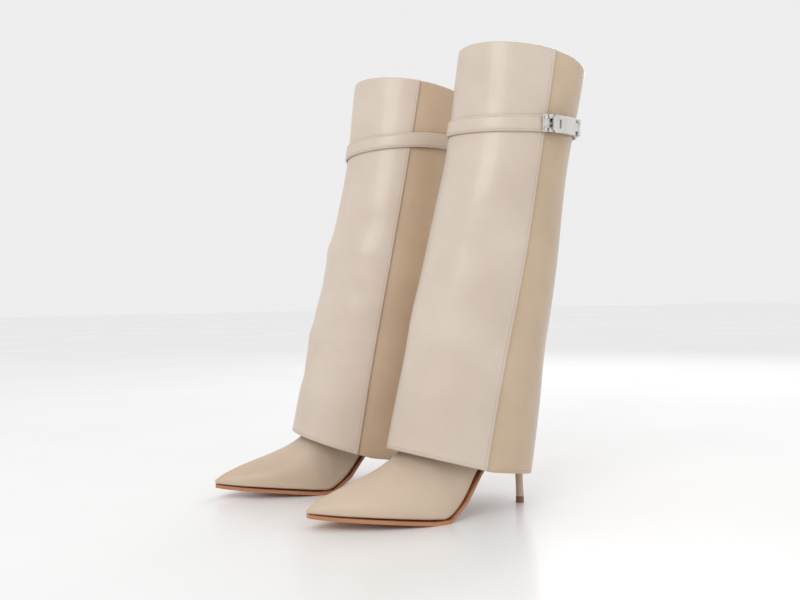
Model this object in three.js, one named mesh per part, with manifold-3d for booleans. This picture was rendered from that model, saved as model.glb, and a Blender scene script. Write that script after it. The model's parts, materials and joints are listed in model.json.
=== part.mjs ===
// A pair of knee-high boots: pointed toe, slim high heel, a fold-over cover that hangs over the
// shaft, and a strap that closes with a turn-lock on the outer side. Millimetres, +Z up, toes
// towards -Y, the wearer's left boot on +X.
import * as THREE from "three";
import { mergeVertices } from "three/addons/utils/BufferGeometryUtils.js";
import Module from "manifold-3d";

const wasm = await Module();
wasm.setup();
const { PI, sin, cos, abs, sign, max, hypot, atan2 } = Math;
const DEG = PI / 180;

// ---- The pair: where each boot's heel tip stands and how far its toe turns out ---------------
const LEFT_STAND = { x: 71.5, y: 0, turn: 4.5 };
const RIGHT_STAND = { x: -71.5, y: -52, turn: -7.5 };

// ---- Clearances and walls --------------------------------------------------------------------
const GAP = 0.3; // between two pieces that touch
const NEST_GAP = 0.5; // between curved skins, one inside the other
const FIT = 0.3; // round a pin, screw or rivet in its hole, on the radius
const UPPER_WALL = 1.4;
const STIFFENER_WALL = 0.8; // toe puff and heel counter
const LINING_WALL = 0.7;
const COVER_WALL = 1.6; // leather with its backing, turned at the edges
const STRAP_WALL = 1.7;

// ---- Cover: rings from the hem (0) to the top fold (1) ---------------------------------------
const LEAN = { back: 10.15, out: 2.2 }; // degrees
const HEM_CENTRE = { x: -6.3, y: -68.9, z: 44 };
const TOP_HEIGHT = 450.5; // of the middle of the top fold
const HEM_TILT = { front: 16.7, back: 9.4, side: 2.7 }; // degrees, front and outer edge up
const TOP_TILT = { front: 7.3, back: 9.5, side: -1.2 };
const COVER_DEPTH = [80.3, 76.2, 70, 64.2, 69.3]; // half depths, front to back
const COVER_WIDTH = [59, 58.2, 61, 59.5, 58]; // half widths
const OUTER_SEAM = [-4.5, -1.5, -1.5]; // degrees from straight out to the side
const INNER_SEAM = [192, 190.5, 187];
const SEAM_LAP = 6; // the back panel runs this far under the front one
const LAP_GAP = 0.7; // between the two panels where they lap

// ---- Leg of the boot, under the cover --------------------------------------------------------
const ANKLE_SHARE = 0.31; // where the leg starts, as a share of the cover's rings
const ANKLE = { forward: -23.5, thinDepth: 32.6, thinWidth: 20 }; // against the cover's ring
const LEG_EASE = 1.3; // how the leg fills out towards the calf
const LEG_TO_COVER = 0.9;

// ---- Last: the shape of the foot, from the toe to the ankle ----------------------------------
// Each station is a ring between a point of the sole line and a point of the ridge line.
// low is the height of the widest line as a share of the ring, square the squareness below it.
const SOLE_WALL = 3.6;
const SOLE_TOP = SOLE_WALL + GAP;
const SEAT = { front: [-44, 68], back: [2, 93] }; // the heel's seat under the foot
const STATIONS = [
  { sole: [-231, SOLE_TOP + 11.4], ridge: [-231.5, 19], half: 2.5, shift: -11, low: 0.4, square: 2 },
  { sole: [-222, SOLE_TOP + 10.2], ridge: [-222, 25], half: 9, shift: -10.3, low: 0.3, square: 3 },
  { sole: [-206, SOLE_TOP + 8.6], ridge: [-205, 32], half: 18, shift: -8.6, low: 0.25, square: 4 },
  { sole: [-188, SOLE_TOP + 7.3], ridge: [-187, 38], half: 27, shift: -6.6, low: 0.22, square: 4.5 },
  { sole: [-168, SOLE_TOP + 5.4], ridge: [-169, 44], half: 33.5, shift: -4.4, low: 0.2, square: 5 },
  { sole: [-146, SOLE_TOP + 3], ridge: [-152, 51], half: 38, shift: -2.2, low: 0.18, square: 5 },
  { sole: [-122, SOLE_TOP], ridge: [-137, 60.5], half: 39.5, shift: -0.4, low: 0.17, square: 5 },
  { sole: [-106, SOLE_TOP], ridge: [-124, 72.5], half: 37, shift: 1.6, low: 0.17, square: 5 },
  { sole: [-86, 17.5], ridge: [-112, 86.5], half: 31, shift: 2.2, low: 0.2, square: 4.5 },
  { sole: [-67, 43], ridge: [-101, 101.5], half: 28.5, shift: 1.6, low: 0.22, square: 4 },
  { sole: SEAT.front, ridge: [-92, 115], half: 28.5, shift: 0.6, low: 0.25, square: 3.5 },
  { sole: [-18, 82], ridge: [-84, 127], half: 30.5, shift: -0.4, low: 0.3, square: 3.2 },
  { sole: SEAT.back, ridge: [-77, 138], half: 31.5, shift: -1, low: 0.36, square: 2.8 },
  { sole: [9, 110], ridge: [-71, 149], half: 32, shift: -1.3, low: 0.42, square: 2.4 },
  { sole: [10, 133], ridge: [-65, 161], half: 33, shift: -1.5, low: 0.47, square: 2.1 },
];
const RIDGE_IN = { most: 11, station: 7, spread: 3.2 }; // the instep's ridge lies to the inner side
const CREST = 1.9; // roundness of the upper half of every ring
const TOE_SETBACK = 0.3; // stations that an inner skin's tip lies back, for each mm of wall
const PUFF_END = 3; // station where the toe puff ends
const COUNTER = { from: 12, to: 14, columns: 3 }; // stations, and columns each side of the back

// ---- Bottom stack ----------------------------------------------------------------------------
const SOLE_BREAST = 10; // station where the outsole ends at the heel
const SOLE_FOREPART = 7; // station where the flat tread ends and it starts to thin
const SOLE_BREAST_WALL = 1.8;
const SOLE_SHARE = 0.96; // of the last's half width
const SOLE_STEP = 0.6; // and this much more
const BOARD_WALL = 2;
const SHANK = { from: 7, to: 10, half: 6, wall: 1.2, gap: 0.8 };
const SOCK_WALL = 3;
const INSIDE_LAYER = { from: 2, to: 12, columns: 2 }; // stations, and columns each side

// ---- Heel ------------------------------------------------------------------------------------
const HEEL_AXIS = -0.5; // y of the steel pin
const TIP = { radius: 4.1, height: 6.2, socket: 3 };
const WRAP_WALL = 0.7;
const PIN = { radius: 1.5, length: 42 };
const SCREW = { radius: 2, headRadius: 4, head: 1, length: 20, station: 11 };
const HEEL_RINGS = [
  { front: [-4.4, TIP.height + GAP], back: [3.6, TIP.height + GAP], half: 4.2 },
  { front: [-4.7, 24], back: [2.6, 24], half: 4 },
  { front: [-6.6, 48], back: [2.9, 50], half: 4.6 },
  { front: [-12, 60], back: [3.8, 66], half: 7.5 },
  { front: [-24, 66.5], back: [5, 80], half: 15 },
];
const SEAT_HALF = 26;
const SEAT_OVERRUN = { front: 2.5, back: 4 }; // mm short of the seat's front, and past its back

// ---- Strap and turn-lock ---------------------------------------------------------------------
// Places along the lock are in mm of arc back from the middle of the outer side.
const STRAP_SHARE = 0.833; // height of the strap's middle on the cover
const STRAP_RISE = { back: 12, inner: 4 }; // it runs level, so it lies higher on the leaning cover there
const STRAP_HEIGHT = 16;
const STRAP_GAP = 0.8; // over the cover, whose skin is a little flatter between its rings
const STRAP_ENDS = { front: 40, rear: 43 };
const LOCK_HEIGHT = 16.6;
const LOCK_LIFT = 1.1; // keeper and bracket above the strap, which curves a little otherwise
const KEEPER = { from: -9, to: 14, wall: 1.2 };
const HASP = { from: -3, bend: 35, wall: 1.5, forkTo: 11.5, fork: 8.6, lap: 0.6 };
const TOGGLE = { at: 3.5, tall: 17.6, wide: 7.4, wall: 2.6, slope: 0.9, rim: 0.4, spindle: 1.9 };
const FLANGE = { radius: 2.8, wall: 0.5 }; // holds the toggle's spindle behind the keeper
const HINGE = { at: 45, pin: 1, barrel: 2.1, lift: 0.8, middle: 8, sideGap: 0.4 };
const BRACKET = { from: 48.2, to: 57, wall: 1.1, arm: 4 };
const RIVET = { radius: 1, head: 2, headWall: 0.8, spread: 10.4 };
const KEEPER_RIVETS_AT = -5.8;
const BRACKET_RIVETS_AT = 53;
const RIVET_SINK = STRAP_WALL; // a rivet's shank ends flush with the strap's back

// ---- Fineness --------------------------------------------------------------------------------
const COVER_ROWS = 8;
const PANEL_COLUMNS = 12;
const LEG_ROWS = 6;
const RING_COLUMNS = 16; // round a foot or leg ring; one falls on the sole line
const STRAP_COLUMNS = 32;
const HEEL_ROWS = 8;
const HEEL_COLUMNS = 12;
const ROUND = 8; // sides of pins, rivets and holes

// ---- Materials -------------------------------------------------------------------------------
const finish = (color, roughness, metalness) => () =>
  new THREE.MeshStandardMaterial({ color, roughness, metalness });
const leather = finish(0xcbb9a8, 0.55, 0);
const liningLeather = finish(0xc9b49c, 0.75, 0);
const soleLeather = finish(0xb97a4e, 0.5, 0);
const tipRubber = finish(0x9c5c36, 0.7, 0);
const board = finish(0xa58a63, 0.9, 0);
const heelPlastic = finish(0xd8d2c6, 0.6, 0);
const steel = finish(0x9a9a9c, 0.35, 1);
const polished = finish(0xd5d3cf, 0.12, 1);

// ---- Small maths -----------------------------------------------------------------------------
const steps = (count, from = 0, to = 1) =>
  Array.from({ length: count + 1 }, (_, i) => from + ((to - from) * i) / count);

// Smooth curve through evenly spaced numbers (Catmull-Rom); at runs over their indices.
function smooth(values, at) {
  const last = values.length - 1;
  const i = Math.min(Math.max(Math.floor(at), 0), last - 1);
  const f = at - i;
  const b = values[i];
  const c = values[i + 1];
  const a = i > 0 ? values[i - 1] : 2 * b - c;
  const d = i + 2 <= last ? values[i + 2] : 2 * c - b;
  return b + 0.5 * f * (c - a + f * (2 * a - 5 * b + 4 * c - d + f * (3 * (b - c) + d - a)));
}
const along = (values, share) => smooth(values, share * (values.length - 1));
const mix = (a, b, share) => a + (b - a) * share;
const power = (value, exponent) => sign(value) * abs(value) ** exponent;

// ---- Closed bodies from rows of points -------------------------------------------------------
// Neighbouring rows are joined; each row is a closed ring of points. With loop the last row
// joins the first. Otherwise the two ends are closed, by a fan to the middle of the row or, for
// a thin folded row, by a strip between its two halves.
function body(rows, { loop = false, strip = false } = {}) {
  const columns = rows[0].length;
  const points = rows.flat();
  const faces = [];
  const spans = loop ? rows.length : rows.length - 1;
  for (let r = 0; r < spans; r++) {
    const here = r * columns;
    const next = ((r + 1) % rows.length) * columns;
    for (let c = 0; c < columns; c++) {
      const d = (c + 1) % columns;
      faces.push(here + c, here + d, next + d, here + c, next + d, next + c);
    }
  }
  if (!loop) {
    [0, rows.length - 1].forEach((r) => {
      const flip = r === 0;
      const start = r * columns;
      const push = (a, b, c) => faces.push(...(flip ? [a, c, b] : [a, b, c]));
      if (strip) {
        for (let c = 0; c < columns / 2 - 1; c++) {
          const far = columns - 1 - c;
          push(start + c, start + c + 1, start + far - 1);
          push(start + c, start + far - 1, start + far);
        }
      } else {
        const middle = rows[r].reduce((sum, p) => sum.add(p), new THREE.Vector3());
        points.push(middle.divideScalar(columns));
        for (let c = 0; c < columns; c++) {
          push(start + c, start + ((c + 1) % columns), points.length - 1);
        }
      }
    });
  }
  const geometry = new THREE.BufferGeometry().setFromPoints(points);
  geometry.setIndex(faces);
  return outward(geometry);
}

// Turns every face round if the body would be inside out.
function outward(geometry) {
  const at = geometry.attributes.position;
  const index = geometry.index.array;
  const [a, b, c] = [new THREE.Vector3(), new THREE.Vector3(), new THREE.Vector3()];
  let volume = 0;
  for (let i = 0; i < index.length; i += 3) {
    a.fromBufferAttribute(at, index[i]);
    b.fromBufferAttribute(at, index[i + 1]);
    c.fromBufferAttribute(at, index[i + 2]);
    volume += a.dot(b.cross(c));
  }
  if (volume < 0) geometry.setIndex([...index].reverse());
  return geometry;
}

// A wall open at both ends: rings of an outer and of an inner skin.
const tube = (outer, inner) => body([...outer, ...inner.toReversed()], { loop: true });
// A wall closed at its first ring and open at its last.
const cup = (outer, inner) => body([...outer, ...inner.toReversed()]);
// A curved panel: each row holds one line of its outer skin and the matching one of its inner.
const panel = (outer, inner) =>
  body(outer.map((line, i) => [...line, ...inner[i].toReversed()]), { strip: true });

function solidOf(geometry) {
  const plain = geometry.clone();
  plain.deleteAttribute("normal");
  plain.deleteAttribute("uv");
  const merged = mergeVertices(plain, 1e-4);
  const { array } = merged.attributes.position;
  return new wasm.Manifold(
    new wasm.Mesh({ numProp: 3, vertProperties: array, triVerts: new Uint32Array(merged.index.array) }),
  );
}
function geometryOf(solid) {
  const mesh = solid.getMesh();
  const geometry = new THREE.BufferGeometry();
  geometry.setAttribute("position", new THREE.BufferAttribute(mesh.vertProperties, 3));
  return geometry.setIndex(new THREE.BufferAttribute(mesh.triVerts, 1));
}
const cut = (geometry, tools) =>
  geometryOf(tools.reduce((solid, tool) => solid.subtract(solidOf(tool)), solidOf(geometry)));
const join = (geometry, others) =>
  geometryOf(others.reduce((solid, other) => solid.add(solidOf(other)), solidOf(geometry)));

// A cylinder from one point to another.
function rod(from, to, radius, sides = ROUND) {
  const run = to.clone().sub(from);
  const geometry = new THREE.CylinderGeometry(radius, radius, run.length(), sides);
  const turn = new THREE.Quaternion().setFromUnitVectors(new THREE.Vector3(0, 1, 0), run.normalize());
  return geometry.applyQuaternion(turn).translate(...from.clone().add(to).divideScalar(2).toArray());
}
// A round headed piece turned about +Y: a shank of one radius up to a head of another.
const headed = (shank, length, headRadius, head) =>
  new THREE.LatheGeometry(
    [[0, -length], [shank, -length], [shank, 0], [headRadius, 0], [headRadius, head * 0.6],
      [headRadius * 0.7, head], [0, head]].map(([x, y]) => new THREE.Vector2(x, y)),
    ROUND,
  );
const aim = (geometry, at, direction) =>
  geometry
    .applyQuaternion(new THREE.Quaternion().setFromUnitVectors(new THREE.Vector3(0, 1, 0), direction))
    .translate(...at.toArray());

// ---- Cover and leg rings ---------------------------------------------------------------------
// The ring's middle, half axes and tilt at a share of the height from hem to top fold.
function coverRing(share) {
  const z = mix(HEM_CENTRE.z, TOP_HEIGHT, share);
  const tilt = (way) => mix(HEM_TILT[way], TOP_TILT[way], share) * DEG;
  return {
    x: HEM_CENTRE.x + Math.tan(LEAN.out * DEG) * (z - HEM_CENTRE.z),
    y: HEM_CENTRE.y + Math.tan(LEAN.back * DEG) * (z - HEM_CENTRE.z),
    z,
    depth: along(COVER_DEPTH, share),
    width: along(COVER_WIDTH, share),
    tilt: { front: tilt("front"), back: tilt("back"), side: tilt("side") },
  };
}
// A point of a ring: angle 0 is the outer side, 90 degrees the back; inset goes inwards.
function ringPoint(ring, angle, inset) {
  const back = (ring.depth - inset) * sin(angle);
  const out = (ring.width - inset) * cos(angle);
  const tilt = back > 0 ? ring.tilt.back : ring.tilt.front;
  return new THREE.Vector3(
    ring.x + out,
    ring.y + back * cos(tilt),
    ring.z - back * sin(tilt) + out * sin(ring.tilt.side),
  );
}
const coverPoint = (share, angle, inset) => ringPoint(coverRing(share), angle, inset);
const seamAt = (seam, share) => along(seam, share) * DEG;
const lapAngle = (share) => SEAM_LAP / along(COVER_WIDTH, share);

const BACK_PANEL_INSET = COVER_WALL + LAP_GAP;
const LEG_INSET = BACK_PANEL_INSET + COVER_WALL + LEG_TO_COVER;
const LINING_INSET = UPPER_WALL + NEST_GAP;

// The leg's ring at a share of its height: the cover's ring, thinned and moved forwards.
function legRing(share) {
  const ring = coverRing(mix(ANKLE_SHARE, 1, share));
  const away = (1 - share) ** LEG_EASE;
  const tilt = (ring.tilt.front + ring.tilt.back) / 2;
  return {
    ...ring,
    tilt: { front: tilt, back: tilt, side: 0 },
    y: ring.y - ANKLE.forward * away,
    depth: ring.depth - LEG_INSET - ANKLE.thinDepth * away,
    width: ring.width - LEG_INSET - ANKLE.thinWidth * away,
  };
}
const legRings = (inset, from) =>
  steps(LEG_ROWS, from).map((share) =>
    steps(RING_COLUMNS - 1, 0, 2 * PI * (1 - 1 / RING_COLUMNS)).map((angle) =>
      ringPoint(legRing(share), angle, inset),
    ),
  );

// ---- Last rings ------------------------------------------------------------------------------
const ankle = legRing(0);
const yz = (point) => [point.y, point.z];
const LAST = [
  ...STATIONS,
  {
    sole: yz(ringPoint(ankle, PI / 2, 0)),
    ridge: yz(ringPoint(ankle, -PI / 2, 0)),
    half: ankle.width,
    shift: ankle.x,
    low: 0.5,
    square: 2,
  },
];
const LAST_END = LAST.length - 1;
const lastValue = (at, read) => smooth(LAST.map(read), at);
function lastRing(at) {
  const sole = new THREE.Vector2(lastValue(at, (s) => s.sole[0]), lastValue(at, (s) => s.sole[1]));
  const ridge = new THREE.Vector2(lastValue(at, (s) => s.ridge[0]), lastValue(at, (s) => s.ridge[1]));
  return {
    sole,
    up: ridge.clone().sub(sole).normalize(),
    height: ridge.distanceTo(sole),
    half: lastValue(at, (s) => s.half),
    shift: lastValue(at, (s) => s.shift),
    low: lastValue(at, (s) => s.low),
    square: lastValue(at, (s) => s.square),
  };
}
// A point of the last: angle 0 is the outer side, 90 degrees the ridge, -90 the sole.
function lastPoint(at, angle, inset) {
  const ring = lastRing(at);
  const height = ring.height - 2 * inset;
  const upper = sin(angle) > 0;
  const exponent = 2 / (upper ? CREST : ring.square);
  const rise = (upper ? 1 - ring.low : ring.low) * height * power(sin(angle), exponent);
  const up = inset + ring.low * height + rise;
  const nearRidge = Math.exp(-(((at - RIDGE_IN.station) / RIDGE_IN.spread) ** 2));
  const aside = (RIDGE_IN.most * nearRidge * max(rise, 0)) / ring.height;
  return new THREE.Vector3(
    ring.shift - aside + (ring.half - inset) * power(cos(angle), exponent),
    ring.sole.x + ring.up.x * up,
    ring.sole.y + ring.up.y * up,
  );
}

// Every skin of the foot is sampled at the same stations and angles, so that nested skins keep
// their distance between the samples too.
const LAST_ROWS = [0, 0.5, ...steps(LAST_END - 1, 1, LAST_END)];
const COLUMN = 360 / RING_COLUMNS; // degrees
const rowsBetween = (from, to) => [from, ...LAST_ROWS.filter((at) => at > from && at < to), to];
const lastRings = (inset, to) =>
  rowsBetween(inset * TOE_SETBACK, to).map((at) =>
    steps(RING_COLUMNS - 1, -90, 270 - COLUMN).map((angle) => lastPoint(at, angle * DEG, inset)),
  );
// A curved layer along the sole line, some columns wide each side of it.
function soleLayer(from, to, columns, inset, wall) {
  const skin = (depth) =>
    rowsBetween(from, to).map((at) =>
      steps(2 * columns, -90 - columns * COLUMN, -90 + columns * COLUMN).map((angle) =>
        lastPoint(at, angle * DEG, depth),
      ),
    );
  return panel(skin(inset), skin(inset + wall));
}

// ---- Foot pieces -----------------------------------------------------------------------------
const STIFFENER_INSET = UPPER_WALL + NEST_GAP;
const FOOT_LINING_INSET = STIFFENER_INSET + STIFFENER_WALL + NEST_GAP;
const FOOT_INSIDE = FOOT_LINING_INSET + LINING_WALL;
const SHANK_INSET = FOOT_INSIDE + SHANK.gap;
const BOARD_INSET = SHANK_INSET + SHANK.wall + SHANK.gap;
const SOCK_INSET = BOARD_INSET + BOARD_WALL + NEST_GAP;
const FOOT_END = LAST_END - 0.01;

// The heel screw goes straight down through the seat, and each piece there has its hole.
const seatSlope = atan2(SEAT.back[1] - SEAT.front[1], SEAT.back[0] - SEAT.front[0]);
const seatNormal = new THREE.Vector3(0, -sin(seatSlope), cos(seatSlope));
const seatPoint = (y, up) =>
  new THREE.Vector3(0, y, SEAT.front[1] + (y - SEAT.front[0]) * Math.tan(seatSlope)).addScaledVector(
    seatNormal,
    up,
  );
// Insets run along a ring, which stands askew to the seat; this is their share square to it.
const screwRing = lastRing(SCREW.station);
const seatShare = screwRing.up.dot(new THREE.Vector2(seatNormal.y, seatNormal.z));
const screwY = screwRing.sole.x;
const screwHeadUnder = (BOARD_INSET + BOARD_WALL) * seatShare - SCREW.head;
const screwHole = () =>
  rod(
    seatPoint(screwY, screwHeadUnder - SCREW.length - FIT),
    seatPoint(screwY, SOCK_INSET),
    SCREW.radius + FIT,
  );
const screwRecess = () =>
  rod(
    seatPoint(screwY, screwHeadUnder - GAP),
    seatPoint(screwY, SOCK_INSET + BOARD_WALL),
    SCREW.headRadius + FIT,
  );

// The outsole: a plate under the sole line, thinner towards the heel.
function outsoleGeometry() {
  const rows = rowsBetween(0, SOLE_BREAST);
  return body(
    rows.map((at, i) => {
      const ring = lastRing(at);
      const before = lastRing(rows[max(i - 1, 0)]).sole;
      const after = lastRing(rows[Math.min(i + 1, rows.length - 1)]).sole;
      const run = after.clone().sub(before).normalize();
      const share = ring.up.dot(new THREE.Vector2(-run.y, run.x));
      const thin = max((at - SOLE_FOREPART) / (SOLE_BREAST - SOLE_FOREPART), 0);
      const wall = mix(SOLE_WALL, SOLE_BREAST_WALL, thin);
      const wide = ring.half * SOLE_SHARE + SOLE_STEP;
      // The wall is measured straight down under the forepart, and square to the sole behind it.
      const [back, up] = at > SOLE_FOREPART ? [ring.up.x / share, ring.up.y / share] : [0, 1];
      const place = (x, down) =>
        new THREE.Vector3(ring.shift + x, ring.sole.x - back * down, ring.sole.y - up * down);
      return [place(-wide, GAP + wall), place(wide, GAP + wall), place(wide, GAP), place(-wide, GAP)];
    }),
  );
}
// The shank: a narrow steel strip between the lining and the insole board.
function shankGeometry() {
  const line = (at, inset) => {
    const ring = lastRing(at);
    const angle = Math.asin((SHANK.half / (ring.half - inset)) ** (ring.square / 2)) / DEG;
    return steps(2, -90 - angle, -90 + angle).map((a) => lastPoint(at, a * DEG, inset));
  };
  const skin = (inset) => rowsBetween(SHANK.from, SHANK.to).map((at) => line(at, inset));
  return panel(skin(SHANK_INSET), skin(SHANK_INSET + SHANK.wall));
}
function footPieces() {
  const wall = (inset, thickness, to) => cup(lastRings(inset, to), lastRings(inset + thickness, to));
  const inside = (inset, thickness) =>
    soleLayer(INSIDE_LAYER.from, INSIDE_LAYER.to, INSIDE_LAYER.columns, inset, thickness);
  const counter = soleLayer(
    COUNTER.from,
    COUNTER.to,
    COUNTER.columns,
    STIFFENER_INSET,
    STIFFENER_WALL,
  );
  return {
    foot_upper: [cut(wall(0, UPPER_WALL, FOOT_END), [screwHole()]), leather],
    toe_puff: [wall(STIFFENER_INSET, STIFFENER_WALL, PUFF_END), board],
    heel_counter: [counter, board],
    foot_lining: [cut(wall(FOOT_LINING_INSET, LINING_WALL, FOOT_END), [screwHole()]), liningLeather],
    outsole: [outsoleGeometry(), soleLeather],
    shank: [shankGeometry(), steel],
    insole_board: [cut(inside(BOARD_INSET, BOARD_WALL), [screwHole(), screwRecess()]), board],
    sock_lining: [inside(SOCK_INSET, SOCK_WALL), liningLeather],
  };
}

// ---- Heel pieces -----------------------------------------------------------------------------
const SEAT_GAP = 2 * GAP; // the foot's sole bulges a little between its stations
const seatBelow = (y) => yz(seatPoint(y, -SEAT_GAP));
const HEEL = [
  ...HEEL_RINGS,
  {
    front: seatBelow(SEAT.front[0] + SEAT_OVERRUN.front),
    back: seatBelow(SEAT.back[0] + SEAT_OVERRUN.back),
    half: SEAT_HALF,
  },
];
const heelRings = (inset) =>
  steps(HEEL_ROWS).map((share) => {
    const read = (pick) => along(HEEL.map(pick), share);
    const front = new THREE.Vector2(read((r) => r.front[0]), read((r) => r.front[1]));
    const back = new THREE.Vector2(read((r) => r.back[0]), read((r) => r.back[1]));
    const middle = front.clone().add(back).divideScalar(2);
    const run = back.clone().sub(front);
    const depth = run.length() / 2 - inset;
    run.normalize();
    return steps(HEEL_COLUMNS - 1, 0, 2 * PI * (1 - 1 / HEEL_COLUMNS)).map(
      (angle) =>
        new THREE.Vector3(
          (read((r) => r.half) - inset) * cos(angle),
          middle.x + run.x * depth * sin(angle),
          middle.y + run.y * depth * sin(angle),
        ),
    );
  });
function heelPieces() {
  const up = (z) => new THREE.Vector3(0, HEEL_AXIS, z);
  const pinFrom = TIP.height - TIP.socket + FIT;
  const pinHole = () => rod(up(pinFrom - FIT), up(pinFrom + PIN.length + FIT), PIN.radius + FIT);
  const screw = headed(SCREW.radius, SCREW.length, SCREW.headRadius, SCREW.head);
  return {
    heel_core: [cut(body(heelRings(WRAP_WALL + GAP)), [pinHole(), screwHole()]), heelPlastic],
    heel_wrap: [tube(heelRings(0), heelRings(WRAP_WALL)), leather],
    heel_tip: [cut(rod(up(0), up(TIP.height), TIP.radius, 20), [pinHole()]), tipRubber],
    heel_pin: [rod(up(pinFrom), up(pinFrom + PIN.length), PIN.radius), steel],
    heel_screw: [aim(screw, seatPoint(screwY, screwHeadUnder), seatNormal), steel],
  };
}

// ---- Leg and cover pieces --------------------------------------------------------------------
function coverPanel(inset, from, to) {
  const skin = (depth) =>
    steps(PANEL_COLUMNS).map((across) =>
      steps(COVER_ROWS).map((share) => coverPoint(share, mix(from(share), to(share), across), depth)),
    );
  return panel(skin(inset), skin(inset + COVER_WALL));
}
function legPieces() {
  const outerSeam = (share) => seamAt(OUTER_SEAM, share);
  const innerSeam = (share) => seamAt(INNER_SEAM, share);
  const start = GAP / (TOP_HEIGHT - ankle.z);
  const shaft = (inset) => legRings(inset, start);
  return {
    leg_shaft: [tube(shaft(0), shaft(UPPER_WALL)), leather],
    leg_lining: [tube(shaft(LINING_INSET), shaft(LINING_INSET + LINING_WALL)), liningLeather],
    cover_front: [coverPanel(0, innerSeam, (share) => outerSeam(share) + 2 * PI), leather],
    cover_back: [
      coverPanel(
        BACK_PANEL_INSET,
        (share) => outerSeam(share) - lapAngle(share),
        (share) => innerSeam(share) + lapAngle(share),
      ),
      leather,
    ],
  };
}

// ---- Strap and turn-lock ---------------------------------------------------------------------
const STRAP_OUT = STRAP_GAP + STRAP_WALL;
const coverRise = TOP_HEIGHT - HEM_CENTRE.z;
// A point of the strap: up is along the cover from the strap's middle, out is off the cover.
const strapPoint = (angle, up, out) =>
  coverPoint(
    STRAP_SHARE + (STRAP_RISE.back * sin(angle) - STRAP_RISE.inner * cos(angle) + up) / coverRise,
    angle,
    -out,
  );
const angleOf = (arc) => arc / (along(COVER_DEPTH, STRAP_SHARE) + STRAP_OUT);
const onStrap = (arc, up = 0) => strapPoint(angleOf(arc), up, STRAP_OUT);

// The lock is built in its own frame, on the strap's face at the middle of the lock: x outwards,
// y back along the strap, z up.
const LOCK_MIDDLE = mix(KEEPER.from, BRACKET.to, 0.5);
const lockBack = onStrap(LOCK_MIDDLE + 1).sub(onStrap(LOCK_MIDDLE - 1)).normalize();
const lockUp = onStrap(LOCK_MIDDLE, 1).sub(onStrap(LOCK_MIDDLE, -1));
const lockOut = lockBack.clone().cross(lockUp).normalize();
const lockFrame = new THREE.Matrix4()
  .makeBasis(lockOut, lockBack, lockOut.clone().cross(lockBack))
  .setPosition(onStrap(LOCK_MIDDLE));

// The round that best follows the strap's face behind the lock, through three of its points.
function roundThrough(a, b, c) {
  const d = 2 * (a.x * (b.y - c.y) + b.x * (c.y - a.y) + c.x * (a.y - b.y));
  const [aa, bb, cc] = [a.lengthSq(), b.lengthSq(), c.lengthSq()];
  const centre = new THREE.Vector2(
    (aa * (b.y - c.y) + bb * (c.y - a.y) + cc * (a.y - b.y)) / d,
    (aa * (c.x - b.x) + bb * (a.x - c.x) + cc * (b.x - a.x)) / d,
  );
  return { centre, radius: centre.distanceTo(a) };
}
const intoLock = lockFrame.clone().invert();
const lockRound = roundThrough(
  ...[KEEPER.from, LOCK_MIDDLE, BRACKET.to].map((arc) => {
    const point = onStrap(arc).applyMatrix4(intoLock);
    return new THREE.Vector2(point.x, point.y);
  }),
);
const middleTurn = atan2(-lockRound.centre.y, -lockRound.centre.x);
const turnOf = (arc) => middleTurn + (arc - LOCK_MIDDLE) / lockRound.radius;
// A point at an arc length along the lock, a height above the strap's face and a height up.
function lockPoint(arc, lift, up = 0) {
  const radius = lockRound.radius + lift;
  const turn = turnOf(arc);
  return new THREE.Vector3(
    lockRound.centre.x + radius * cos(turn),
    lockRound.centre.y + radius * sin(turn),
    up,
  );
}
const outwardAt = (arc) => new THREE.Vector3(cos(turnOf(arc)), sin(turnOf(arc)), 0);

// A plate bent to the strap's round, between two arcs and two heights.
function bentPlate(from, to, low, wall, height, columns = 6) {
  const outline = [
    ...steps(columns, from, to).map((arc) => lockPoint(arc, low + wall)),
    ...steps(columns, to, from).map((arc) => lockPoint(arc, low)),
  ].map((p) => new THREE.Vector2(p.x, p.y));
  return new THREE.ExtrudeGeometry(new THREE.Shape(outline), {
    depth: height,
    bevelEnabled: false,
  }).translate(0, 0, -height / 2);
}
const across = (arc, from, to, radius, up = 0) =>
  rod(lockPoint(arc, from, up), lockPoint(arc, to, up), radius);

const keeperTop = LOCK_LIFT + KEEPER.wall;
const haspLow = keeperTop + GAP;
const haspTop = haspLow + HASP.wall;
const toggleLow = haspTop + GAP;
const hingeLift = HINGE.lift + HINGE.barrel;

function strapGeometry() {
  const half = STRAP_HEIGHT / 2;
  const rear = angleOf(STRAP_ENDS.rear);
  const front = angleOf(STRAP_ENDS.front) + 2 * PI;
  return body(
    steps(STRAP_COLUMNS, rear, front).map((angle) => [
      strapPoint(angle, -half, STRAP_GAP),
      strapPoint(angle, -half, STRAP_OUT),
      strapPoint(angle, half, STRAP_OUT),
      strapPoint(angle, half, STRAP_GAP),
    ]),
  );
}
const riveted = (at) => [-1, 1].map((end) => ({ at, up: (end * RIVET.spread) / 2 }));
const rivetHoles = (spots) =>
  spots.map(({ at, up }) => across(at, -RIVET_SINK - LOCK_LIFT, toggleLow, RIVET.radius + FIT, up));
const rivet = ({ at, up }, plateTop) =>
  aim(
    headed(RIVET.radius, plateTop + GAP + RIVET_SINK, RIVET.head, RIVET.headWall),
    lockPoint(at, plateTop + GAP, up),
    outwardAt(at),
  );

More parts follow.
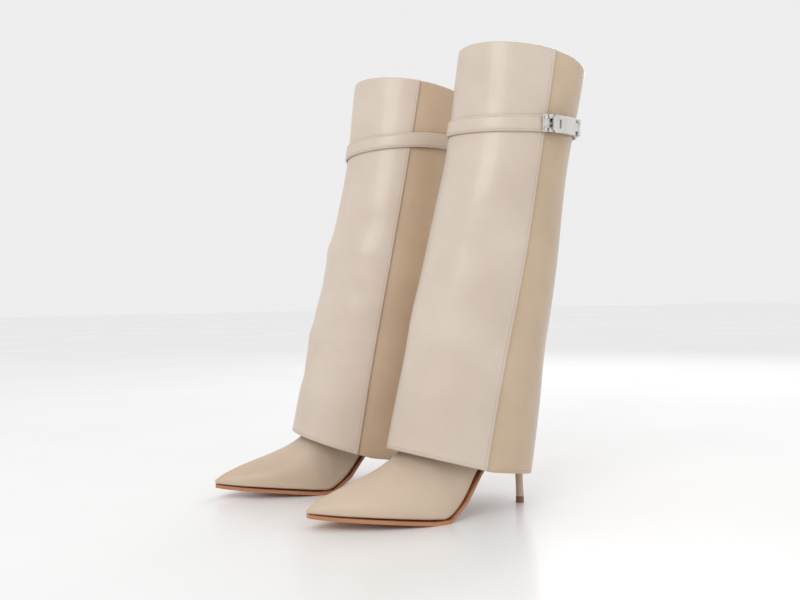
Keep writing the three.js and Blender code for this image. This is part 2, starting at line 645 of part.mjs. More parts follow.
// The toggle: a tall six-sided plate with sloping edges on a spindle that a flange holds.
function toggleGeometry() {
  const { tall, wide, wall, slope, rim } = TOGGLE;
  const corners = [[0, 0.5], [0.5, 0.3], [0.5, -0.3], [0, -0.5], [-0.5, -0.3], [-0.5, 0.3]];
  const outline = corners.map(
    ([x, y]) => new THREE.Vector2(x * (wide - 2 * slope), y * (tall - 2 * slope)),
  );
  const plate = new THREE.ExtrudeGeometry(new THREE.Shape(outline), {
    depth: wall - slope - rim,
    bevelThickness: slope,
    bevelSize: slope,
    bevelSegments: 1,
  }).translate(0, 0, slope);
  const out = outwardAt(TOGGLE.at);
  const up = new THREE.Vector3(0, 0, 1);
  const frame = new THREE.Matrix4().makeBasis(new THREE.Vector3().crossVectors(up, out), up, out);
  frame.setPosition(lockPoint(TOGGLE.at, toggleLow));
  const flangeLow = (LOCK_LIFT - FLANGE.wall) / 2;
  return join(plate.applyMatrix4(frame), [
    across(TOGGLE.at, flangeLow, toggleLow + slope, TOGGLE.spindle),
    across(TOGGLE.at, flangeLow, flangeLow + FLANGE.wall, FLANGE.radius),
  ]);
}
// The hasp: a forked front end, a bent plate and a barrel on the hinge pin.
function haspGeometry() {
  const plate = bentPlate(HASP.from, HASP.bend, haspLow, HASP.wall, LOCK_HEIGHT, 8);
  const half = HASP.wall / 2;
  const outline = [
    lockPoint(HASP.bend - HASP.lap, haspTop),
    lockPoint(HASP.bend - HASP.lap, haspLow),
    lockPoint(HINGE.at, hingeLift - half),
    lockPoint(HINGE.at + half, hingeLift + half),
  ].map((p) => new THREE.Vector2(p.x, p.y));
  const tongue = (height) =>
    new THREE.ExtrudeGeometry(new THREE.Shape(outline), { depth: height, bevelEnabled: false });
  const middle = HINGE.middle;
  const barrel = rod(
    lockPoint(HINGE.at, hingeLift, -middle / 2),
    lockPoint(HINGE.at, hingeLift, middle / 2),
    HINGE.barrel,
  );
  const bore = rod(
    lockPoint(HINGE.at, hingeLift, -LOCK_HEIGHT),
    lockPoint(HINGE.at, hingeLift, LOCK_HEIGHT),
    HINGE.pin + FIT,
  );
  const forkFrom = HASP.from - HASP.wall;
  const fork = bentPlate(forkFrom, HASP.forkTo, haspLow - HASP.wall, 3 * HASP.wall, HASP.fork, 4);
  const whole = join(plate, [tongue(middle).translate(0, 0, -middle / 2), barrel]);
  return cut(whole, [bore, fork]);
}
// The bracket: a bent base plate under two barrels that stand either side of the hasp's own.
function bracketGeometry() {
  const side = (LOCK_HEIGHT - HINGE.middle) / 2 - HINGE.sideGap;
  const inner = HINGE.middle / 2 + HINGE.sideGap;
  const base = bentPlate(BRACKET.from, BRACKET.to, LOCK_LIFT, BRACKET.wall, LOCK_HEIGHT, 3);
  const knuckle = (end) => {
    const near = end * inner;
    const far = end * (inner + side);
    const arm = bentPlate(HINGE.at, HINGE.at + BRACKET.arm, LOCK_LIFT, BRACKET.wall, side, 2);
    return [
      rod(lockPoint(HINGE.at, hingeLift, near), lockPoint(HINGE.at, hingeLift, far), HINGE.barrel),
      arm.translate(0, 0, (near + far) / 2),
    ];
  };
  const bore = rod(
    lockPoint(HINGE.at, hingeLift, -LOCK_HEIGHT),
    lockPoint(HINGE.at, hingeLift, LOCK_HEIGHT),
    HINGE.pin + FIT,
  );
  const whole = join(base, [...knuckle(1), ...knuckle(-1)]);
  return cut(whole, [bore, ...rivetHoles(riveted(BRACKET_RIVETS_AT))]);
}

function lockPieces() {
  const keeperRivets = riveted(KEEPER_RIVETS_AT);
  const bracketRivets = riveted(BRACKET_RIVETS_AT);
  const keeper = bentPlate(KEEPER.from, KEEPER.to, LOCK_LIFT, KEEPER.wall, LOCK_HEIGHT);
  const spindleHole = across(TOGGLE.at, 0, haspLow, TOGGLE.spindle + FIT);
  const hinge = (up) => lockPoint(HINGE.at, hingeLift, up);
  return {
    keeper_plate: [cut(keeper, [spindleHole, ...rivetHoles(keeperRivets)]), polished],
    keeper_rivet_upper: [rivet(keeperRivets[1], keeperTop), polished],
    keeper_rivet_lower: [rivet(keeperRivets[0], keeperTop), polished],
    toggle: [toggleGeometry(), polished],
    hasp: [haspGeometry(), polished],
    hinge_pin: [rod(hinge(-LOCK_HEIGHT / 2), hinge(LOCK_HEIGHT / 2), HINGE.pin), steel],
    hinge_bracket: [bracketGeometry(), polished],
    bracket_rivet_upper: [rivet(bracketRivets[1], LOCK_LIFT + BRACKET.wall), polished],
    bracket_rivet_lower: [rivet(bracketRivets[0], LOCK_LIFT + BRACKET.wall), polished],
  };
}
// The strap with its rivet holes, in boot coordinates.
function strapPieces() {
  const holes = rivetHoles([...riveted(KEEPER_RIVETS_AT), ...riveted(BRACKET_RIVETS_AT)]);
  return { strap: [cut(strapGeometry(), holes.map((hole) => hole.applyMatrix4(lockFrame))), leather] };
}

// ---- Assembly --------------------------------------------------------------------------------
const bootPieces = { ...footPieces(), ...heelPieces(), ...legPieces(), ...strapPieces() };
const lockParts = lockPieces();

function meshes(side, pieces) {
  return Object.entries(pieces).map(([name, [geometry, material]]) => {
    const mesh = new THREE.Mesh(geometry, material());
    mesh.name = `${side}_${name}`;
    return mesh;
  });
}
function boot(side, stand, mirror) {
  const whole = new THREE.Group();
  whole.add(...meshes(side, bootPieces));
  const lock = new THREE.Group().add(...meshes(side, lockParts));
  lock.applyMatrix4(lockFrame);
  whole.add(lock);
  whole.scale.x = mirror;
  whole.rotation.z = stand.turn * DEG;
  whole.position.set(stand.x, stand.y, 0);
  return whole;
}

const pair = new THREE.Group().add(boot("left", LEFT_STAND, 1), boot("right", RIGHT_STAND, -1));
// The origin is on the floor, in the middle of the pair's box.
const object = new THREE.Group().add(pair);
object.updateMatrixWorld(true);
const middle = new THREE.Box3().setFromObject(pair, true).getCenter(new THREE.Vector3());
pair.position.set(-middle.x, -middle.y, 0);

export default object;
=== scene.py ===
"""A pair of knee-high leather boots with fold-over covers, slim heels and a strap with a turn-lock."""
import json
import math

import bpy
import numpy as np
from mathutils import Matrix, Vector


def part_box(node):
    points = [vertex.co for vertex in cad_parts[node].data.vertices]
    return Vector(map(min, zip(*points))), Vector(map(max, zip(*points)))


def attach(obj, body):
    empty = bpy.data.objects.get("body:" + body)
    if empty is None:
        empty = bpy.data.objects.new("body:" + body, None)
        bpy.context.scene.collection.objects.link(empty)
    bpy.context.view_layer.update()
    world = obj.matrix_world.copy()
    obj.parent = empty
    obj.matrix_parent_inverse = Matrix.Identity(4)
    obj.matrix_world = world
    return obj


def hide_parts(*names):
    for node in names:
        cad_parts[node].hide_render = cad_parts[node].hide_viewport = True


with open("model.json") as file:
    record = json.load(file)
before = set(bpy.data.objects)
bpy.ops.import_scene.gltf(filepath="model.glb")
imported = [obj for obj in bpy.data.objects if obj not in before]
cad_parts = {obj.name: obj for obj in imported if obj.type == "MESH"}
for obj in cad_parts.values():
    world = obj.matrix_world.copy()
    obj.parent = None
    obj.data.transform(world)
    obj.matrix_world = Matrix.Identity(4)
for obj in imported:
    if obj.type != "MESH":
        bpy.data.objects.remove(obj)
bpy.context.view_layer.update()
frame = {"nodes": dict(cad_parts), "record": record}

SIDES = ("left", "right")

# Heels. Each slim heel is a moulded core covered in one piece of the upper's leather, glued down
# and meeting in a seam at the back. The top lift is pinned into its lower end and meets the floor.
MM = 0.001
TURN = {"left": 4.5, "right": -7.5}  # degrees, each boot on the floor
HEEL_AXIS = -0.5  # the lift's centre, along the boot
HEEL_FRONT = [(-4.4, 6.5), (-4.7, 24), (-6.6, 48), (-12, 60), (-24, 66.5), (-41.5, 68.8)]
HEEL_BACK = [(3.6, 6.5), (2.6, 24), (2.9, 50), (3.8, 66), (5, 80), (6, 94.6)]
HEEL_HALF = [4.2, 4.0, 4.6, 7.5, 15, 26]
HEEL_ROWS = 61
HEEL_COLUMNS = 48
HEEL_WALL = 0.6


def curve(values, at):
    """Smooth line through values at 0, 1, 2...: each stretch is a cubic whose ends follow its neighbours."""
    values = np.asarray(values, float)
    last = len(values) - 1
    start = np.clip(np.floor(at), 0, last - 1).astype(int)
    t = (at - start).reshape(np.shape(at) + (1,) * (values.ndim - 1))
    a = values[np.maximum(start - 1, 0)]
    b = values[start]
    c = values[start + 1]
    d = values[np.minimum(start + 2, last)]
    square = (2 * a - 5 * b + 4 * c - d) * t**2
    cube = (3 * b - a - 3 * c + d) * t**3
    return 0.5 * (2 * b + (c - a) * t + square + cube)


def stand(points, side):
    """A boot's own millimetres to metres: mirrored for the right boot, turned, and moved to its heel."""
    low, high = (np.array(p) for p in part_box(side + "_heel_tip"))
    turn = math.radians(TURN[side])
    x = points[..., 0] * (1 if side == "left" else -1)
    y = points[..., 1] - HEEL_AXIS
    centre = (low + high) / 2
    return np.stack(
        [
            centre[0] + MM * (x * math.cos(turn) - y * math.sin(turn)),
            centre[1] + MM * (x * math.sin(turn) + y * math.cos(turn)),
            MM * points[..., 2],
        ],
        -1,
    )


def put(name, points, faces, side, material):
    """One smooth mesh of a boot's own points, riding with that boot."""
    mesh = bpy.data.meshes.new(name)
    mesh.from_pydata(stand(points, side).reshape(-1, 3).tolist(), [], faces)
    mesh.shade_smooth()
    mesh.materials.append(material)
    piece = bpy.data.objects.new(name, mesh)
    bpy.context.scene.collection.objects.link(piece)
    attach(piece, side + "_boot")
    return piece


def skin(name, grid, side, material, stands_for, wall=0.0, around=True, flip=False, cap=False):
    """A grid of points as quads, closed round its second direction; cap closes its first row."""
    rows, columns = grid.shape[:2]
    index = np.arange(rows * columns).reshape(rows, columns)
    near = index if around else index[:, :-1]
    far = np.roll(index, -1, axis=1) if around else index[:, 1:]
    faces = np.stack([near[:-1], far[:-1], far[1:], near[1:]], -1).reshape(-1, 4)
    reverse = flip != (side == "right")
    if reverse:
        faces = faces[:, ::-1]
    faces = faces.tolist()
    if cap:
        faces.append(index[0].tolist() if reverse else index[0][::-1].tolist())
    piece = put(name, grid, faces, side, material)
    if wall:
        shell = piece.modifiers.new("wall", "SOLIDIFY")
        shell.thickness = wall * MM
        shell.offset = -1
    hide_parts(*stands_for)
    return piece


def hide_group():
    """Leather's surface: broad patches of tone, and a fine pebble with pores as one height."""
    group = bpy.data.node_groups.new("hide", "ShaderNodeTree")
    for label in ("Patch scale", "Grain scale"):
        group.interface.new_socket(label, in_out="INPUT", socket_type="NodeSocketFloat")
    for label in ("Patches", "Height"):
        group.interface.new_socket(label, in_out="OUTPUT", socket_type="NodeSocketFloat")
    node = group.nodes.new
    link = group.links.new
    given = node("NodeGroupInput")
    result = node("NodeGroupOutput")
    place = node("ShaderNodeTexCoord")
    patches = node("ShaderNodeTexNoise")
    pebble = node("ShaderNodeTexVoronoi")
    pores = node("ShaderNodeTexNoise")
    total = node("ShaderNodeMath")
    patches.inputs["Detail"].default_value = 5
    pores.inputs["Detail"].default_value = 3
    total.operation = "ADD"
    for texture in (patches, pebble, pores):
        link(place.outputs["Object"], texture.inputs["Vector"])
    link(given.outputs["Patch scale"], patches.inputs["Scale"])
    link(given.outputs["Grain scale"], pebble.inputs["Scale"])
    link(given.outputs["Grain scale"], pores.inputs["Scale"])
    link(pebble.outputs["Distance"], total.inputs[0])
    link(pores.outputs["Fac"], total.inputs[1])
    link(patches.outputs["Fac"], result.inputs["Patches"])
    link(total.outputs[0], result.inputs["Height"])
    return group


HIDE = hide_group()
TONE_EDGES = (0.35, 0.65)  # the patch values where the dark and the light tone are reached
GLOSS_DRIFT = 0.15  # roughness drifts this share either way


def finish_of(name, light, dark, roughness, grain, depth, metal=0.0, coat=0.0, patch=14.0):
    """A material whose colour and roughness drift between two values in patches, with a fine relief."""
    material = bpy.data.materials.new(name)
    material.use_nodes = True
    node = material.node_tree.nodes.new
    link = material.node_tree.links.new
    shader = material.node_tree.nodes["Principled BSDF"]
    hide = node("ShaderNodeGroup")
    hide.node_tree = HIDE
    hide.inputs["Patch scale"].default_value = patch
    hide.inputs["Grain scale"].default_value = grain
    tone = node("ShaderNodeValToRGB")
    for stop, edge, colour in zip(tone.color_ramp.elements, TONE_EDGES, (dark, light)):
        stop.position = edge
        stop.color = (*colour, 1)
    gloss = node("ShaderNodeMapRange")
    gloss.inputs["To Min"].default_value = roughness * (1 - GLOSS_DRIFT)
    gloss.inputs["To Max"].default_value = min(1, roughness * (1 + GLOSS_DRIFT))
    bump = node("ShaderNodeBump")
    bump.inputs["Strength"].default_value = 0.35
    bump.inputs["Distance"].default_value = depth * MM
    link(hide.outputs["Patches"], tone.inputs["Fac"])
    link(tone.outputs["Color"], shader.inputs["Base Color"])
    link(hide.outputs["Patches"], gloss.inputs["Value"])
    link(gloss.outputs["Result"], shader.inputs["Roughness"])
    link(hide.outputs["Height"], bump.inputs["Height"])
    link(bump.outputs["Normal"], shader.inputs["Normal"])
    shader.inputs["Metallic"].default_value = metal
    shader.inputs["Coat Weight"].default_value = coat
    return material


UPPER = finish_of("beige_upper_leather", (0.62, 0.49, 0.37), (0.56, 0.43, 0.32), 0.42, 1500, 0.12)
LIFT = finish_of("brown_top_lift", (0.30, 0.14, 0.07), (0.24, 0.11, 0.055), 0.55, 2200, 0.1)
round_heel = np.linspace(0, 2 * np.pi, HEEL_COLUMNS, endpoint=False)
at = np.linspace(0, len(HEEL_HALF) - 1, HEEL_ROWS)
front = curve(HEEL_FRONT, at)
back = curve(HEEL_BACK, at)
half = curve(HEEL_HALF, at)[:, None]
centre = (front + back) / 2
reach = (back - front) / 2
heel_rings = np.stack(
    [
        half * np.cos(round_heel),
        centre[:, :1] + reach[:, :1] * np.sin(round_heel),
        centre[:, 1:] + reach[:, 1:] * np.sin(round_heel),
    ],
    -1,
)
for side in SIDES:
    covered = [side + "_heel_wrap"]
    skin(side + "_heel_cover", heel_rings, side, UPPER, covered, HEEL_WALL)

# Soles. The thin leather outsole is cut to the foot's outline, rolled at its edge and stained tan.
# It lies flat under the forefoot and thins under the arch. The frame's own solid gets this finish.
SOLE = finish_of("tan_sole_leather", (0.50, 0.22, 0.10), (0.40, 0.16, 0.07), 0.38, 1800, 0.08, coat=0.2)

# Feet. One pointed vamp and its quarters are pulled over a last, low at the toe and high at the
# instep. Upper and lining are one wall here, which ends under the cover where it meets the leg.
# The sole line and the ridge are (along the boot, up), at fifteen places from toe to ankle.
FOOT_SOLE = [
    (-231, 15.3), (-222, 14.1), (-206, 12.5), (-188, 11.2), (-168, 9.3),
    (-146, 6.9), (-122, 3.9), (-106, 3.9), (-86, 17.5), (-67, 43),
    (-44, 68), (-18, 82), (2, 93), (9, 110), (10, 133),
]
FOOT_RIDGE = [
    (-231.5, 19), (-222, 25), (-205, 32), (-187, 38), (-169, 44),
    (-152, 51), (-137, 60.5), (-124, 72.5), (-112, 86.5), (-101, 101.5),
    (-92, 115), (-84, 127), (-77, 138), (-71, 149), (-65, 161),
]
FOOT_HALF = [2.5, 9, 18, 27, 33.5, 38, 39.5, 37, 31, 28.5, 28.5, 30.5, 31.5, 32, 33]
FOOT_SHIFT = [-11, -10.3, -8.6, -6.6, -4.4, -2.2, -0.4, 1.6, 2.2, 1.6, 0.6, -0.4, -1, -1.3, -1.5]
FOOT_LOW = [0.4, 0.3, 0.25, 0.22, 0.2, 0.18, 0.17, 0.17, 0.2, 0.22, 0.25, 0.3, 0.36, 0.42, 0.47]
FOOT_SQUARE = [2, 3, 4, 4.5, 5, 5, 5, 5, 4.5, 4, 3.5, 3.2, 2.8, 2.4, 2.1]
RIDGE_IN = {"most": 11, "place": 7, "spread": 3.2}
CREST = 1.9  # how square the upper half is; 2 is an ellipse
FOOT_ROWS = 141
FOOT_COLUMNS = 96
FOOT_WALL = 1.8


def signed_power(value, exponent):
    """A power that keeps the sign of its value."""
    return np.sign(value) * np.abs(value) ** exponent


def foot(at, angle):
    """The last's surface: superellipse rings stood on the sole line, with the ridge leaning inwards."""
    sole = curve(FOOT_SOLE, at)
    ridge = curve(FOOT_RIDGE, at)
    tall = np.linalg.norm(ridge - sole, axis=-1)
    upwards = (ridge - sole) / tall[..., None]
    low = curve(FOOT_LOW, at)
    upper = np.sin(angle) > 0
    exponent = np.where(upper, 2 / CREST, 2 / curve(FOOT_SQUARE, at))
    rise = np.where(upper, 1 - low, low) * tall * signed_power(np.sin(angle), exponent)
    lean = RIDGE_IN["most"] * np.exp(-(((at - RIDGE_IN["place"]) / RIDGE_IN["spread"]) ** 2))
    aside = lean * np.maximum(rise, 0) / tall
    x = curve(FOOT_SHIFT, at) - aside + curve(FOOT_HALF, at) * signed_power(np.cos(angle), exponent)
    yz = sole + upwards * (low * tall + rise)[..., None]
    return np.concatenate([x[..., None], yz], -1)


at, angle = np.meshgrid(
    np.linspace(0, len(FOOT_HALF) - 1, FOOT_ROWS),
    np.linspace(0, 2 * np.pi, FOOT_COLUMNS, endpoint=False),
    indexing="ij",
)
for side in SIDES:
    name = side + "_vamp_and_quarters"
    covered = [side + "_foot_upper", side + "_foot_lining"]
    skin(name, foot(at, angle), side, UPPER, covered, FOOT_WALL, flip=True, cap=True)

# Legs. The inner shaft is a lined leather tube that leans back with the leg and thins to the ankle.
# It shows only inside the top opening.
HEM = {"x": -6.3, "y": -68.9, "z": 44.0}  # centre of the cover's lower edge
TOP_Z = 450.5
COVER_RISE = TOP_Z - HEM["z"]
LEAN_BACK = math.tan(math.radians(10.15))
LEAN_OUT = math.tan(math.radians(2.2))
COVER_DEPTH = [80.3, 76.2, 70, 64.2, 69.3]
COVER_WIDTH = [59, 58.2, 61, 59.5, 58]
FRONT_TILT = (16.7, 9.4)  # degrees at the hem, and how much less at the top
BACK_TILT = (9.4, -0.1)
SIDE_TILT = (2.7, 3.9)
ANKLE = {"share": 0.31, "forward": 23.5, "depth": 32.6, "width": 20, "ease": 1.3}
LEG_ROWS = 90
LEG_COLUMNS = 96
LEG_INSET = 5.0
LEG_WALL = 2.2
LINING = finish_of("tan_lining_leather", (0.50, 0.37, 0.25), (0.43, 0.31, 0.2), 0.6, 1600, 0.1)


def ring(share, angle, inset, leg=0.0):
    """The cover's leaning, tilted oval at a share of its height; leg is how far it has thinned."""
    z = HEM["z"] + COVER_RISE * share
    depth = curve(COVER_DEPTH, share * 4) - inset - leg * ANKLE["depth"]
    width = curve(COVER_WIDTH, share * 4) - inset - leg * ANKLE["width"]
    back = depth * np.sin(angle)
    out = width * np.cos(angle)
    back_tilt = BACK_TILT[0] - BACK_TILT[1] * share
    front_tilt = FRONT_TILT[0] - FRONT_TILT[1] * share
    tilt = np.radians(np.where(back > 0, back_tilt, front_tilt))
    side_tilt = np.radians(SIDE_TILT[0] - SIDE_TILT[1] * share)
    x = HEM["x"] + LEAN_OUT * (z - HEM["z"]) + out
    y = HEM["y"] + LEAN_BACK * (z - HEM["z"]) + leg * ANKLE["forward"] + back * np.cos(tilt)
    return np.stack([x, y, z - back * np.sin(tilt) + out * np.sin(side_tilt)], -1)


share, angle = np.meshgrid(
    np.linspace(ANKLE["share"], 1, LEG_ROWS),
    np.linspace(0, 2 * np.pi, LEG_COLUMNS, endpoint=False),
    indexing="ij",
)
away = (1 - (share - ANKLE["share"]) / (1 - ANKLE["share"])) ** ANKLE["ease"]
tube = ring(share, angle, LEG_INSET, away)
for side in SIDES:
    covered = [side + "_leg_shaft", side + "_leg_lining"]
    skin(side + "_lined_shaft", tube, side, LINING, covered, LEG_WALL)

# Covers. A front panel is lapped over a back panel at both sides and edge-stitched. The top edge
# rolls over and runs a little way down inside the shaft; the hem has a row of stitches.
FRONT_LEATHER = finish_of(
    "pale_cover_leather", (0.66, 0.56, 0.47), (0.60, 0.50, 0.41), 0.36, 1300, 0.12, coat=0.15
)
BACK_LEATHER = finish_of(
    "warm_cover_leather", (0.62, 0.47, 0.33), (0.55, 0.41, 0.28), 0.36, 1300, 0.12, coat=0.15
)
THREAD = finish_of("beige_thread", (0.58, 0.44, 0.30), (0.50, 0.37, 0.25), 0.7, 4000, 0.05)
OUTER_SEAM = [-4.5, -1.5, -1.5]  # degrees from straight out, at the hem, half way and the top
INNER_SEAM = [192, 190.5, 187]
SEAM_LAP = np.radians(6)
BACK_INSET = 1.9  # the back panel lies this far under the front one
PANEL_WALL = 1.5
PANEL_ROWS = 180
PANEL_COLUMNS = 150
# how far in and up the top edge goes as it rolls over and down inside
ROLL = [(0.3, 1.4), (1.6, 2.2), (3.0, 1.6), (3.6, 0.2), (3.7, -3), (3.8, -7), (3.9, -12)]
STRAP_SHARE = 0.833
# each soft dent: share of the height, degrees round, its spread both ways, depth in millimetres
DENTS = {
    "left": [
        (0.2, 300, 0.05, 40, 1.6),
        (0.34, 262, 0.07, 30, -1.5),
        (0.5, 318, 0.08, 34, 1.7),
        (0.64, 285, 0.05, 40, -1.2),
        (0.3, 62, 0.09, 30, 1.5),
        (0.55, 100, 0.1, 36, -1.4),
        (0.12, 120, 0.05, 30, 1.2),
    ],
    "right": [
        (0.16, 250, 0.03, 50, 1.8),
        (0.27, 285, 0.03, 55, -1.8),
        (0.41, 240, 0.035, 50, 1.9),
        (0.52, 268, 0.03, 60, -2.0),
        (0.6, 235, 0.04, 40, 1.5),
        (0.35, 120, 0.06, 36, 1.5),
        (0.55, 80, 0.08, 34, -1.4),
    ],
}
HELD_AT = {"seams": (0, 190), "seam_spread": 14, "strap_spread": 0.05, "hem_spread": 0.04, "top": 0.98}


def degrees_from(angle, line):
    """How far an angle is round from a line, in degrees from -180 to 180."""
    return (np.degrees(angle) % 360 - line + 180) % 360 - 180


def bell(distance, spread):
    """One at no distance, fading smoothly to nothing past its spread."""
    return np.exp(-((distance / spread) ** 2))


def cover(share, angle, inset, side):
    """The cover's ring with its soft dents, which fade out at the seams, the strap, the hem and the top."""
    push = np.zeros_like(share)
    for height, line, tall, wide, deep in DENTS[side]:
        push = push + deep * bell(share - height, tall) * bell(degrees_from(angle, line), wide)
    for seam in HELD_AT["seams"]:
        push = push * (1 - bell(degrees_from(angle, seam), HELD_AT["seam_spread"]))
    push = push * (1 - bell(share - STRAP_SHARE, HELD_AT["strap_spread"]))
    push = push * (1 - bell(share, HELD_AT["hem_spread"]))
    return ring(share, angle, inset + push * (share < HELD_AT["top"]))


def outer_seam(share):
    return np.radians(curve(OUTER_SEAM, share * 2))


def inner_seam(share):
    return np.radians(curve(INNER_SEAM, share * 2))


def panel(start, end, inset, side):
    """A panel between two lines up the cover, with its top edge rolled over and down inside."""
    across = np.linspace(0, 1, PANEL_COLUMNS)
    up, over = np.meshgrid(np.linspace(0, 1, PANEL_ROWS), across, indexing="ij")
    rows = [cover(up, start(up) + (end(up) - start(up)) * over, inset, side)]
    top = np.ones((1, PANEL_COLUMNS))
    edge = start(top) + (end(top) - start(top)) * across
    for inwards, higher in ROLL:
        rows.append(ring(top, edge, inset + inwards) + np.array([0, 0, higher]))
    return np.concatenate(rows)


STITCH_SHAPE = [(-0.9, 0.02), (-0.6, 0.26), (0.6, 0.26), (0.9, 0.02)]  # along the row, and radius
STITCH_SIDES = 6
STITCHES = {"seam": 170, "hem": 190, "strap": 200}
SEAM_ROW_IN = 0.045  # radians from the front panel's edge
HEM_ROW_UP = 0.0075


def stitches(name, points, outward, side):
    """A row of thread loops: each is a six-sided spindle lying along the row, half sunk in the leather."""
    along = np.gradient(points, axis=0)
    along /= np.linalg.norm(along, axis=-1, keepdims=True)
    across = np.cross(outward, along)
    across /= np.linalg.norm(across, axis=-1, keepdims=True)
    turn = np.linspace(0, 2 * np.pi, STITCH_SIDES, endpoint=False)[:, None]
    round_thread = np.cos(turn) * across[:, None] + np.sin(turn) * outward[:, None]
    loops = [points[:, None] + a * along[:, None] + r * round_thread for a, r in STITCH_SHAPE]
    vertices = np.stack(loops, 1)
    i, j = np.meshgrid(np.arange(len(STITCH_SHAPE) - 1), np.arange(STITCH_SIDES), indexing="ij")
    near = i * STITCH_SIDES + j
    far = i * STITCH_SIDES + (j + 1) % STITCH_SIDES
    quad = np.stack([near, far, far + STITCH_SIDES, near + STITCH_SIDES], -1).reshape(1, -1, 4)
    first = np.arange(len(points)) * len(STITCH_SHAPE) * STITCH_SIDES
    faces = (quad + first.reshape(-1, 1, 1)).reshape(-1, 4).tolist()
    put(name, vertices, faces, side, THREAD)


for side in SIDES:
    front_panel = panel(inner_seam, lambda up: outer_seam(up) + 2 * np.pi, 0.0, side)
    back_panel = panel(
        lambda up: outer_seam(up) - SEAM_LAP, lambda up: inner_seam(up) + SEAM_LAP, BACK_INSET, side
    )
    for label, grid, leather in (("front", front_panel, FRONT_LEATHER), ("back", back_panel, BACK_LEATHER)):
        name = f"{side}_cover_{label}"
        skin(name + "_panel", grid, side, leather, [name], PANEL_WALL, around=False)
    up = np.linspace(0.012, 0.97, STITCHES["seam"])
    outer_row = outer_seam(up) + 2 * np.pi - SEAM_ROW_IN
    for label, line in (("outer", outer_row), ("inner", inner_seam(up) + SEAM_ROW_IN)):
        seat = cover(up, line, 0.0, side)
        stitches(f"{side}_{label}_seam_stitches", seat, cover(up, line, -1.0, side) - seat, side)
    hem = np.linspace(0, 2 * np.pi, STITCHES["hem"], endpoint=False)
    low = np.full_like(hem, HEM_ROW_UP)
    on_front = (hem > inner_seam(low)) & (hem < outer_seam(low) + 2 * np.pi)
    seat = cover(low, hem, np.where(on_front, 0.0, BACK_INSET), side)
    facing = cover(low, hem, -1.0, side) - cover(low, hem, 0.0, side)
    stitches(side + "_hem_stitches", seat, facing, side)

# Straps. A doubled band of the cover's leather runs level round each boot and meets under the lock.
# Its section is (up, out from the cover); two rows of stitches hold its edges together.
STRAP_OUT = 2.5
STRAP_RISE = {"back": 12, "inner": 4}
STRAP_ENDS = {"rear": 43, "front": 40}
BAND = [(-8, 0.8), (-8, 2.0), (-7.4, 2.5), (-3, 2.7), (3, 2.7), (7.4, 2.5), (8, 2.0), (8, 0.8)]
BAND_ROW = 6.2
reach = float(curve(COVER_DEPTH, np.array(STRAP_SHARE * 4))) + STRAP_OUT
rear = STRAP_ENDS["rear"] / reach
angle = np.linspace(rear, STRAP_ENDS["front"] / reach + 2 * np.pi, STITCHES["strap"])
lift = STRAP_RISE["back"] * np.sin(angle) - STRAP_RISE["inner"] * np.cos(angle)
level = STRAP_SHARE + lift / COVER_RISE
band = np.stack([ring(level + up / COVER_RISE, angle, -out) for up, out in BAND], 1)
facing = ring(level, angle, -STRAP_OUT - 1) - ring(level, angle, -STRAP_OUT)
for side in SIDES:
    skin(side + "_band", band, side, FRONT_LEATHER, [side + "_strap"], flip=True)
    for label, up in (("upper", BAND_ROW), ("lower", -BAND_ROW)):
        seat = ring(level + up / COVER_RISE, angle, -STRAP_OUT)
        stitches(f"{side}_band_{label}_stitches", seat, facing, side)

# Locks, soles, lifts and inner pieces. The keeper, turning toggle, hinged hasp and bracket are
# stamped and polished plates held by rivets, and board, plastic and steel stiffen the boot inside.
# They are the frame's own solids, each finished for what it is made of; the polished plates, lifts and soles
# have their edges worn round.
METAL = finish_of(
    "polished_plating", (0.80, 0.79, 0.76), (0.66, 0.65, 0.63), 0.16, 900, 0.02, metal=1.0, patch=60
)
STEEL = finish_of("plain_steel", (0.52, 0.52, 0.53), (0.42, 0.42, 0.43), 0.35, 1500, 0.03, metal=1.0)
BOARD = finish_of("fibre_board", (0.42, 0.30, 0.18), (0.34, 0.24, 0.14), 0.85, 900, 0.2)
PLASTIC = finish_of("heel_plastic", (0.70, 0.66, 0.60), (0.64, 0.60, 0.54), 0.5, 1200, 0.05)
BY_SLOT = {
    "polished_metal": METAL,
    "steel": STEEL,
    "stiffener_board": BOARD,
    "heel_plastic": PLASTIC,
    "sole_leather": SOLE,
    "heel_tip": LIFT,
    "lining_leather": LINING,
    "upper_leather": UPPER,
    "cover_leather": FRONT_LEATHER,
}
WORN = ("polished_metal", "heel_tip", "sole_leather")
EDGE_WIDTH = 0.25
EDGE_ANGLE = 40
for part in frame["record"]["subparts"]:
    node = frame["nodes"][part["node"]]
    node.data.materials.clear()
    node.data.materials.append(BY_SLOT[part["material_slot"]])
    if part["material_slot"] in WORN:
        edge = node.modifiers.new("worn_edge", "BEVEL")
        edge.width = EDGE_WIDTH * MM
        edge.segments = 2
        edge.limit_method = "ANGLE"
        edge.angle_limit = math.radians(EDGE_ANGLE)

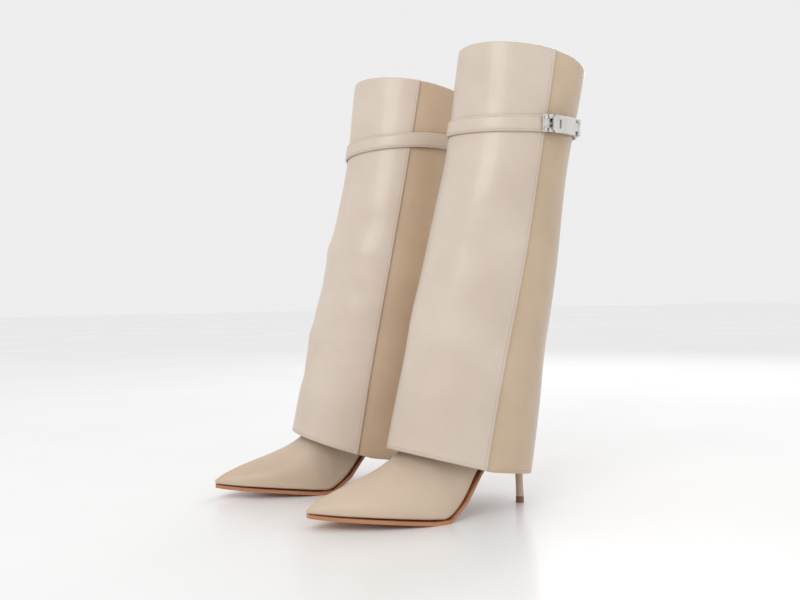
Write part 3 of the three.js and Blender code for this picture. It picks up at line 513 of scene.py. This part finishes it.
# Studio. A plain pale floor under soft light from all round, with two large lamps, and the camera
# low and level, a little under the boots' mid height.
FLOOR_HALF = 15
CORNERS = [(-1, -1), (1, -1), (1, 1), (-1, 1)]
PALE = finish_of("pale_floor", (0.93, 0.93, 0.93), (0.90, 0.90, 0.90), 0.25, 300, 0.01, patch=2)
floor_mesh = bpy.data.meshes.new("floor")
floor_mesh.from_pydata([(x * FLOOR_HALF, y * FLOOR_HALF, 0) for x, y in CORNERS], [], [(0, 1, 2, 3)])
floor_mesh.materials.append(PALE)
floor = bpy.data.objects.new("floor", floor_mesh)
bpy.context.scene.collection.objects.link(floor)

world = bpy.data.worlds.new("studio")
bpy.context.scene.world = world
world.use_nodes = True
sky = world.node_tree.nodes["Background"]
sky.inputs["Color"].default_value = (1, 1, 1, 1)
sky.inputs["Strength"].default_value = 0.85

LAMPS = (("key", (1.4, -1.6, 1.6), 1.2, 16), ("rim", (-1.2, 1.4, 1.3), 1.0, 9))
LAMPS_AIM = Vector((0, 0, 0.22))
for name, place, size, power in LAMPS:
    lamp = bpy.data.lights.new(name, "AREA")
    lamp.size = size
    lamp.energy = power
    holder = bpy.data.objects.new(name, lamp)
    bpy.context.scene.collection.objects.link(holder)
    holder.location = place
    holder.rotation_euler = (LAMPS_AIM - holder.location).to_track_quat("-Z", "Y").to_euler()

CAMERA_PLACE = (0.83067, -0.35238, 0.21170)
heading, pitch, roll = (math.radians(v) for v in (66.736, -0.0585, -0.802))
ahead = np.array([-math.sin(heading), math.cos(heading), 0]) * math.cos(pitch)
ahead[2] = math.sin(pitch)
level_right = np.array([math.cos(heading), math.sin(heading), 0])
level_up = np.cross(level_right, ahead)
turned = np.eye(4)
turned[:3, 0] = math.cos(roll) * level_right + math.sin(roll) * level_up
turned[:3, 1] = -math.sin(roll) * level_right + math.cos(roll) * level_up
turned[:3, 2] = -ahead
turned[:3, 3] = CAMERA_PLACE
lens = bpy.data.cameras.new("camera")
lens.lens = 38.18
lens.sensor_width = 36
camera = bpy.data.objects.new("camera", lens)
bpy.context.scene.collection.objects.link(camera)
camera.matrix_world = Matrix(turned.tolist())
bpy.context.scene.camera = camera
bpy.context.scene.view_settings.view_transform = "Standard"
